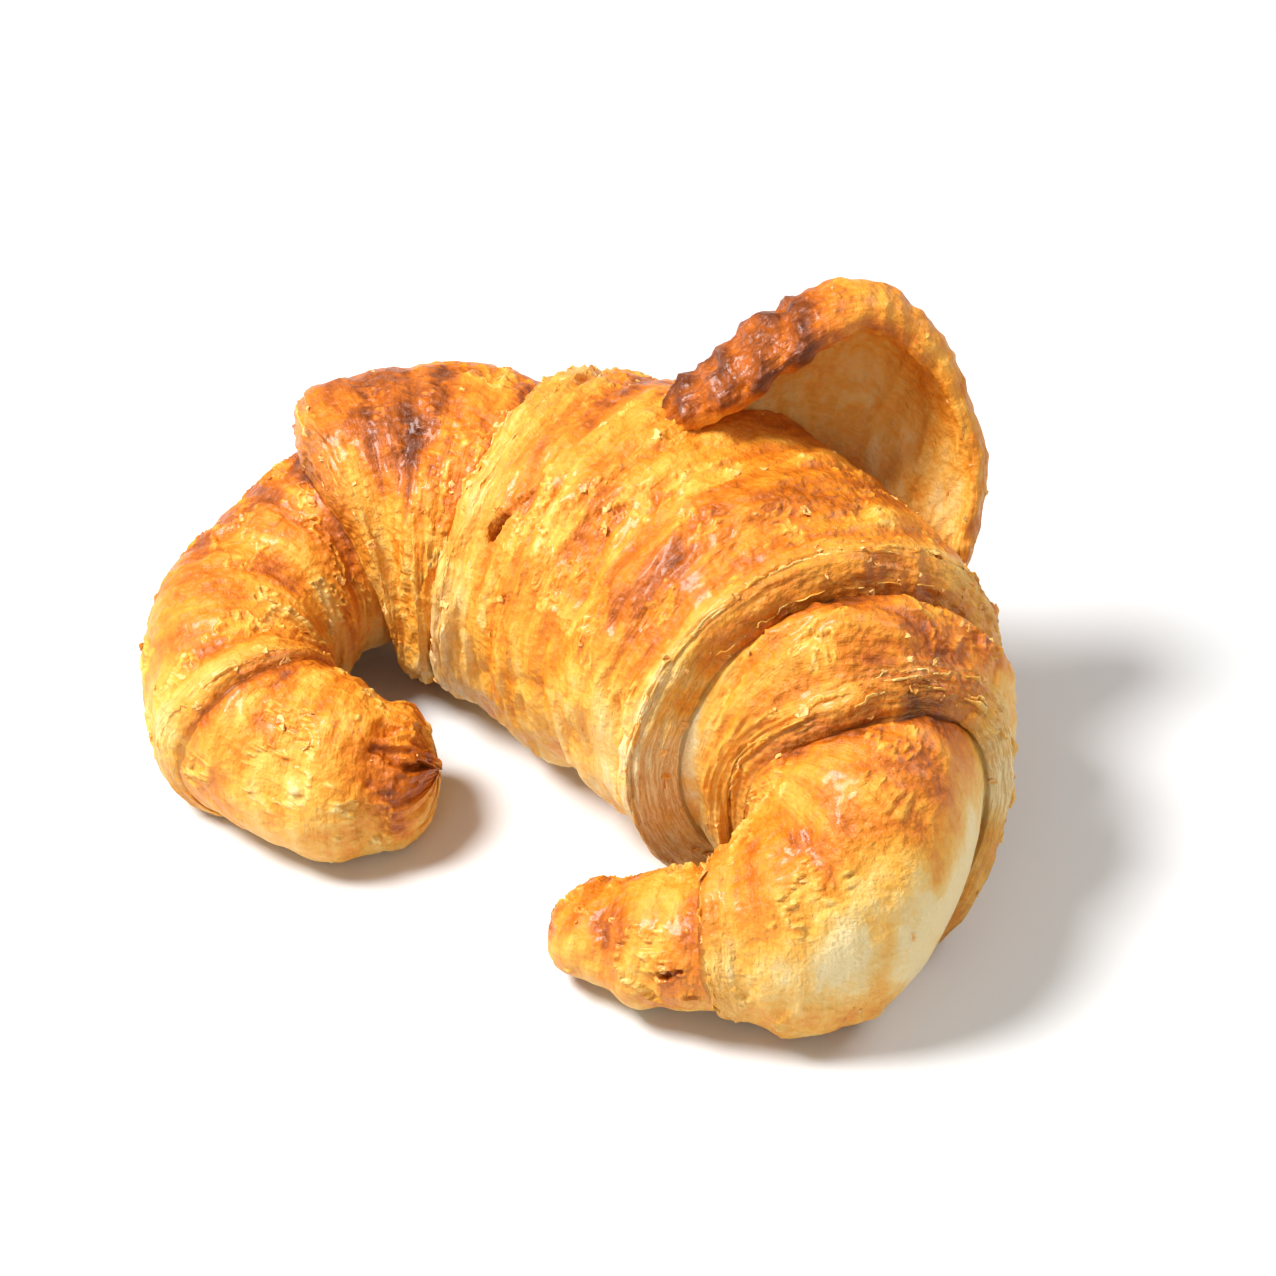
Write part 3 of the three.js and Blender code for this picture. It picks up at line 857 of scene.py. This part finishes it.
BUMP_HEIGHT = 1.1 * MM
bump = add(crust_tree, "ShaderNodeBump", {"Strength": 1.0, "Distance": BUMP_HEIGHT, "Height": uneven})
shader = add(crust_tree, "ShaderNodeBsdfPrincipled", {
    "Base Color": coloured, "Roughness": gloss, "IOR": 1.42, "Specular IOR Level": 0.42,
    "Normal": bump.outputs[0], "Subsurface Weight": 0.08, "Subsurface Radius": (1.0, 0.5, 0.2),
    "Subsurface Scale": 0.9 * MM, "Coat Weight": 0.15, "Coat Roughness": 0.15,
})
add(crust_tree, "ShaderNodeOutputMaterial", {"Surface": shader.outputs[0]})
for piece in body:
    piece.data.materials.append(egg_washed_crust)
print("crust material has", len(crust_tree.nodes), "nodes")

# %% [markdown]
# ## Torn leaves
# Out of each cliff hang the edges of single leaves, thinner than a sheet of card and ragged where
# they tore. Each is a thin closed strip that follows its cliff round the roll, standing out by a
# millimetre or so and sinking into the crust where the leaf broke off.

# %% Leaves along the cliffs
LEAVES = {"left_crease": 1, "shoulder_crease": 1, "middle_left_crease": 3,
          "right_wrap_crease": 4, "right_arm_crease": 3, "right_crease": 1}
LEAF_REACH, LEAF_THICK, LEAF_LONGEST, LEAF_ROOT = 1.3, 0.16, 1.7, 0.9  # mm
seen_columns = np.flatnonzero((angle > math.radians(-22)) & (angle < math.radians(200)))
strips = []
for c in CREASES:
    name = RINGS[c][0]
    low, high = ring_row[c], ring_row[lip_of[name]]
    for k in range(LEAVES[name]):
        share = 0.35 + 0.75 * (k + 0.5) / LEAVES[name]
        row = round(low + (high - low) * share + 4 * math.sin(k * 2.4 + c))
        wander = np.rint(2.5 * fractal(straightened(14, 9)[row], 91 + k))
        row_of = np.clip(row + wander, 0, len(crust) - 1).astype(int)[seen_columns]
        edge, out = crust[row_of, seen_columns], normal[row_of, seen_columns]
        across = unit(np.cross(unit(np.gradient(edge, axis=0)), out)) * np.sign(high - low)
        at = np.stack([radius[row, seen_columns] * angle[seen_columns], 0 * edge[:, 0] + 9 * k,
                       0 * edge[:, 0] + 5 * c], -1)
        reach = LEAF_REACH * (1.5 * fractal(at / (7, 1, 1), 95) + 0.3 * noise(at / (0.9, 1, 1), 97) - 0.05)
        reach = np.clip(reach, -0.3, LEAF_LONGEST)[:, None]
        lean = out * 0.75 + across * (0.55 * noise(at / (11, 1, 1), 99)[:, None] - 0.35)
        end, base, thick = edge + unit(lean) * reach, edge - out * LEAF_ROOT, across * LEAF_THICK
        strips.append(np.stack([base - thick, edge - thick, end - thick * 0.4, end + thick * 0.4,
                                edge + thick, base + thick], axis=1))
print(len(strips), "torn leaves")

# %% [markdown]
# All strips become one mesh, closed at both ends. They get the crust's own material, a little
# paler, because the leaves inside the roll had no egg wash to brown them.

# %% Mesh and finish of the leaves
ROOT_TO_TIP = [0.44, 0.42, 0.30, 0.30, 0.42, 0.44]  # browning at each of the six points of a section
LEAF_PALER = 0.03
leaf_faces, start = [], 0
for strip in strips:
    corner = start + np.arange(len(strip) * 6).reshape(-1, 6)
    turned = np.roll(corner, -1, axis=1)
    leaf_faces += np.stack([corner[:-1], turned[:-1], turned[1:], corner[1:]], -1).reshape(-1, 4).tolist()
    leaf_faces += [corner[0][::-1].tolist(), corner[-1].tolist()]
    start += len(strip) * 6
leaf_points = np.vstack([strip.reshape(-1, 3) for strip in strips])
leaf_browning = np.tile(ROOT_TO_TIP, len(leaf_points) // 6) + 0.25 * noise(leaf_points / 7, 101)
leaf_fields = {"browning_and_painted_light": leaf_browning, "skin": leaf_points}
torn_leaves = mesh_of("torn_leaves", leaf_points, leaf_faces, leaf_fields)
bm = bmesh.new()
bm.from_mesh(torn_leaves.data)
bmesh.ops.recalc_face_normals(bm, faces=bm.faces)
bm.to_mesh(torn_leaves.data)
bm.free()
torn_dough_leaf = egg_washed_crust.copy()
torn_dough_leaf.name = "torn_dough_leaf"
torn_dough_leaf.node_tree.nodes["paler"].inputs[1].default_value += LEAF_PALER
torn_leaves.data.materials.append(torn_dough_leaf)
print(torn_leaves.name, len(torn_leaves.data.polygons) * 2, "triangles")

# %% [markdown]
# ## Loose flakes
# Baked leaves shatter, and their chips lie all over the bread, most of them near the torn edges.
# Chips repeat, so Geometry Nodes scatter them: points on the crust, denser where the map called
# flaky says so, and on each a thin disc of few faces, laid along the skin and tipped a little.
# The tree's inputs come first, so that each size has a name.

# %% Inputs of the flake scatter
def socket(tree, name, kind, way="INPUT"):
    """Adds a named input or output to a tree, and gives back what Blender calls it."""
    return tree.interface.new_socket(name=name, in_out=way, socket_type="NodeSocket" + kind).identifier


scatter = bpy.data.node_groups.new("scattered_flakes", "GeometryNodeTree")
KINDS = {"Crust": "Collection", "Flakes per square metre": "Float", "Smallest": "Float", "Largest": "Float",
         "Thickness": "Float", "Raggedness": "Float", "Seed": "Int", "Finish": "Material"}
socket(scatter, "Geometry", "Geometry")
SOCKETS = {name: socket(scatter, name, kind) for name, kind in KINDS.items()}
socket(scatter, "Geometry", "Geometry", "OUTPUT")
given = add(scatter, "NodeGroupInput").outputs
print("scatter inputs:", ", ".join(SOCKETS))

# %% [markdown]
# The crust's pieces come in as a collection and are made one mesh. The density of points on it is
# the wanted number times the map called flaky, and each point draws its own size and tip.

# %% Where the flakes fall
bed = add(scatter, "GeometryNodeCollectionInfo", {"Collection": given["Crust"]}).outputs[0]
bed = add(scatter, "GeometryNodeRealizeInstances", {"Geometry": bed}).outputs[0]
flakiness = add(scatter, "GeometryNodeInputNamedAttribute", {"Name": "flaky"}, data_type="FLOAT").outputs[0]
inputs = {0: given["Flakes per square metre"], 1: flakiness}
density = add(scatter, "ShaderNodeMath", inputs, operation="MULTIPLY").outputs[0]
inputs = {"Mesh": bed, "Density": density, "Seed": given["Seed"]}
sown = add(scatter, "GeometryNodeDistributePointsOnFaces", inputs).outputs
# lowest, highest, and what is added to the seed, so that each draw is its own
CHANCES = {"size": (0.0, 1.0, 1), "narrowness": (0.4, 1.0, 2),
           "tip": ((-0.4, -0.4, -3.1), (0.4, 0.4, 3.1), 3)}
chance = {}
for name, (low, high, step) in CHANCES.items():
    seed = add(scatter, "ShaderNodeMath", {0: given["Seed"], 1: step}, operation="ADD").outputs[0]
    kind, low_input, output = ("FLOAT_VECTOR", 0, 0) if isinstance(low, tuple) else ("FLOAT", 2, 1)
    inputs = {low_input: low, low_input + 1: high, "Seed": seed}
    chance[name] = add(scatter, "FunctionNodeRandomValue", inputs, data_type=kind).outputs[output]
print("drawn at random for each flake:", ", ".join(chance))

# %% [markdown]
# Most chips are crumbs and a few are large, so the random size is raised to a power first. Noise
# then pushes the points of every disc out of round, so that no two chips are alike.

# %% Shape of the flakes
FEW_LARGE = 2.2  # power of the random size
mostly_small = add(scatter, "ShaderNodeMath", {0: chance["size"], 1: FEW_LARGE}, operation="POWER").outputs[0]
inputs = {0: given["Largest"], 1: given["Smallest"]}
spread = add(scatter, "ShaderNodeMath", inputs, operation="SUBTRACT").outputs[0]
inputs = {0: mostly_small, 1: spread, 2: given["Smallest"]}
size = add(scatter, "ShaderNodeMath", inputs, operation="MULTIPLY_ADD").outputs[0]
narrow = add(scatter, "ShaderNodeMath", {0: size, 1: chance["narrowness"]}, operation="MULTIPLY").outputs[0]
stretch = add(scatter, "ShaderNodeCombineXYZ", {0: size, 1: narrow, 2: given["Thickness"]}).outputs[0]
tipped = add(scatter, "FunctionNodeEulerToRotation", {0: chance["tip"]}).outputs[0]
inputs = {0: sown["Rotation"], 1: tipped}
laid = add(scatter, "FunctionNodeRotateRotation", inputs, rotation_space="LOCAL").outputs[0]
inputs = {"Vertices": 9, "Side Segments": 1, "Fill Segments": 2, "Radius": 1.0, "Depth": 1.0}
chip = add(scatter, "GeometryNodeMeshCylinder", inputs, fill_type="TRIANGLE_FAN").outputs[0]
inputs = {"Points": sown["Points"], "Instance": chip, "Rotation": laid, "Scale": stretch}
chips = add(scatter, "GeometryNodeInstanceOnPoints", inputs).outputs[0]
chips = add(scatter, "GeometryNodeRealizeInstances", {"Geometry": chips}).outputs[0]
RAGGED_CELL = 0.7 * MM
at = add(scatter, "GeometryNodeInputPosition").outputs[0]
inputs = {"Vector": at, "Scale": 1 / RAGGED_CELL, "Detail": 2.0}
crumple = add(scatter, "ShaderNodeTexNoise", inputs).outputs["Color"]
push = add(scatter, "ShaderNodeVectorMath", {0: crumple, 1: (0.5, 0.5, 0.5)}, operation="SUBTRACT").outputs[0]
inputs = {0: push, "Scale": given["Raggedness"]}
push = add(scatter, "ShaderNodeVectorMath", inputs, operation="SCALE").outputs[0]
chips = add(scatter, "GeometryNodeSetPosition", {"Geometry": chips, "Offset": push}).outputs[0]
chips = add(scatter, "GeometryNodeSetMaterial", {"Geometry": chips, "Material": given["Finish"]}).outputs[0]
add(scatter, "NodeGroupOutput", {0: chips})
print("scatter tree has", len(scatter.nodes), "nodes")

# %% [markdown]
# A chip is a splinter of dry, unglazed leaf: cream to gold, and quite matt.

# %% Finish of the flakes
dry_flake, tree = new_material("dry_flake")
place = add(tree, "ShaderNodeTexCoord").outputs["Object"]
FLAKE_TONE = 5 * MM
inputs = {"Vector": place, "Scale": 1 / FLAKE_TONE, "Detail": 4.0}
tone = add(tree, "ShaderNodeTexNoise", inputs).outputs["Fac"]
tones = add(tree, "ShaderNodeValToRGB", {"Fac": tone})
for mark, (position, colour) in zip(tones.color_ramp.elements, ((0.35, "#dd9434"), (0.65, "#ecc078"))):
    mark.position, mark.color = position, linear(colour)
inputs = {"Base Color": tones.outputs[0], "Roughness": 0.5, "IOR": 1.45}
shader = add(tree, "ShaderNodeBsdfPrincipled", inputs)
add(tree, "ShaderNodeOutputMaterial", {"Surface": shader.outputs[0]})
print("flake material has", len(tree.nodes), "nodes")

# %% [markdown]
# The scatter runs on an empty helper object, and its result is taken as a plain mesh, so that no
# modifier is left. The helper and its collection are removed again.

# %% Flakes on the crust
crust_collection = bpy.data.collections.new("crust")
for piece in body:
    crust_collection.objects.link(piece)
sower = bpy.data.objects.new("sower", bpy.data.meshes.new("sower"))
bpy.context.scene.collection.objects.link(sower)
modifier = sower.modifiers.new("flakes", "NODES")
modifier.node_group = scatter
SETTINGS = {"Crust": crust_collection, "Flakes per square metre": 20000.0, "Smallest": 0.25 * MM,
            "Largest": 1.2 * MM, "Thickness": 0.14 * MM, "Raggedness": 1.7 * MM, "Seed": 7,
            "Finish": dry_flake}
for name, value in SETTINGS.items():
    modifier[SOCKETS[name]] = value
bpy.context.view_layer.update()
evaluated = sower.evaluated_get(bpy.context.evaluated_depsgraph_get())
flakes = bpy.data.objects.new("loose_flakes", bpy.data.meshes.new_from_object(evaluated))
bpy.context.scene.collection.objects.link(flakes)
flakes.data.materials.pop(index=0)  # the empty slot of the plain disc
bpy.data.objects.remove(sower)
bpy.data.collections.remove(crust_collection)
body += [torn_leaves, flakes]
print(flakes.name, len(flakes.data.polygons), "faces, materials", list(flakes.data.materials))

# %% [markdown]
# ## Table and light
# A plain matt table stands for the worktop. It is wide enough to fill the frame and hard to see,
# because only the bread should be looked at.

# %% Table
TABLE_HALF = 900  # mm
corners = [(x * TABLE_HALF, y * TABLE_HALF, 0) for x, y in ((-1, -1), (1, -1), (1, 1), (-1, 1))]
table = mesh_of("table", np.array(corners, float), [(0, 1, 2, 3)], {})
pale_table, tree = new_material("matt_white_laminate")
shader = add(tree, "ShaderNodeBsdfPrincipled", {"Base Color": linear("#dadada"), "Roughness": 0.7})
add(tree, "ShaderNodeOutputMaterial", {"Surface": shader.outputs[0]})
table.data.materials.append(pale_table)
print("table is", 2 * TABLE_HALF, "mm square")

# %% [markdown]
# Three soft lamps light it, as in a bright studio: a strong one high on the left, a weak one near
# the camera that opens the shadows in front, and one behind on the right that lights the far side.
# The colours are shown plainly, with no film curve, so that a white table stays white.

# %% Lamps
def lamp(name, direction, distance, size, power):
    light = bpy.data.lights.new(name, "AREA")
    light.shape, light.size, light.energy = "DISK", size * MM, power
    holder = bpy.data.objects.new(name, light)
    bpy.context.scene.collection.objects.link(holder)
    aim(holder, aimed_at + direction.normalized() * distance, aimed_at)


# a direction as seen from the camera, then distance and width in mm, and power in watts
lamp("key_softbox", from_camera(-0.65, 1.0, 0.1), 700, 260, 8.8)
lamp("front_softbox", from_camera(-0.3, 0.5, 1.0), 800, 420, 0.8)
lamp("back_softbox", from_camera(0.9, 0.9, -0.3), 800, 400, 2.6)
print("three lamps:", ", ".join(light.name for light in bpy.data.lights))
world = bpy.data.worlds.new("studio")
world.use_nodes = True
room = world.node_tree.nodes["Background"].inputs
room["Color"].default_value = (1.0, 0.985, 0.96, 1)
room["Strength"].default_value = 0.30
bpy.context.scene.world = world
bpy.context.scene.view_settings.view_transform = "Standard"

# %% [markdown]
# ## Attaching the pieces
# The croissant is one piece of bread with no joints, so every piece rides on the one body, and the
# imported CAD part is hidden.

# %% Attaching the pieces
for piece in body:
    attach(piece, "root")
    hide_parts("croissant")
bpy.context.view_layer.update()
